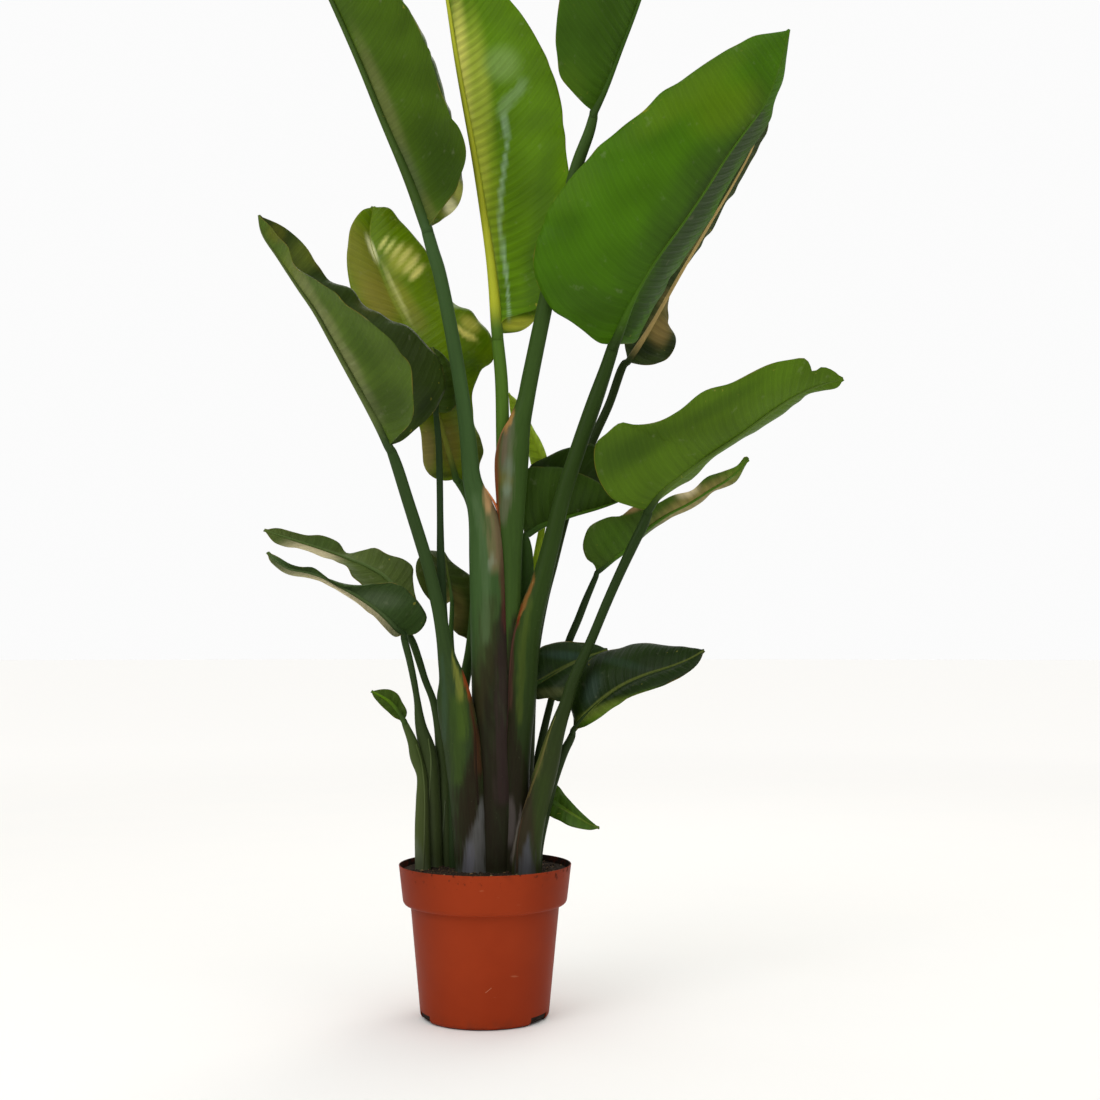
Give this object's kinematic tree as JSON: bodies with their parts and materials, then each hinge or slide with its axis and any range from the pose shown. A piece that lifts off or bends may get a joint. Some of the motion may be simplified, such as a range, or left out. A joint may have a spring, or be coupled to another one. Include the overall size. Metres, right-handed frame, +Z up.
{
  "type": "potted giant bird of paradise plant",
  "caption": "Upright bird of paradise plant with long stalks and big paddle-shaped leaves, standing in soil in an orange-brown nursery pot.",
  "frame": {"origin": "centre of the pot's flat underside, on the floor", "axes": "+Z up; +X to the right and -Y towards the viewer in the picture"},
  "size_m": [0.8139, 0.3772, 1.7321],
  "materials": {
    "pot_plastic": "orange-brown injection-moulded plastic, softly glossy, lightly scuffed",
    "peat": "dark moist potting peat with pale grains and bark bits",
    "stalk": "smooth satin green leaf stalk, purple-brown towards the base, with dry papery sheath margins",
    "blade": "glossy waxy leaf with fine side veins and a pale midrib"
  },
  "bodies": {
    "root": {"pot": "pot_plastic", "soil": "peat", "leaf_spear_stalk": "stalk", "leaf_spear_blade": "blade", "leaf_young_middle_stalk": "stalk", "leaf_young_middle_blade": "blade", "leaf_shade_right_stalk": "stalk", "leaf_shade_right_blade": "blade", "leaf_low_right_back_stalk": "stalk", "leaf_low_right_back_blade": "blade", "leaf_mid_right_back_stalk": "stalk", "leaf_mid_right_back_blade": "blade", "leaf_tiny_right_stalk": "stalk", "leaf_tiny_right_blade": "blade", "leaf_low_right_stalk": "stalk", "leaf_low_right_blade": "blade", "leaf_tall_middle_stalk": "stalk", "leaf_tall_middle_blade": "blade", "leaf_tall_right_stalk": "stalk", "leaf_tall_right_blade": "blade", "leaf_broad_right_stalk": "stalk", "leaf_broad_right_blade": "blade", "leaf_bright_left_stalk": "stalk", "leaf_bright_left_blade": "blade", "leaf_low_middle_stalk": "stalk", "leaf_low_middle_blade": "blade", "leaf_small_left_stalk": "stalk", "leaf_small_left_blade": "blade", "leaf_low_left_back_stalk": "stalk", "leaf_low_left_back_blade": "blade", "leaf_low_left_stalk": "stalk", "leaf_low_left_blade": "blade", "leaf_tiny_left_stalk": "stalk", "leaf_tiny_left_blade": "blade", "leaf_tall_left_stalk": "stalk", "leaf_tall_left_blade": "blade", "leaf_broad_left_stalk": "stalk", "leaf_broad_left_blade": "blade", "leaf_mid_right_stalk": "stalk", "leaf_mid_right_blade": "blade"}
  },
  "joints": []
}
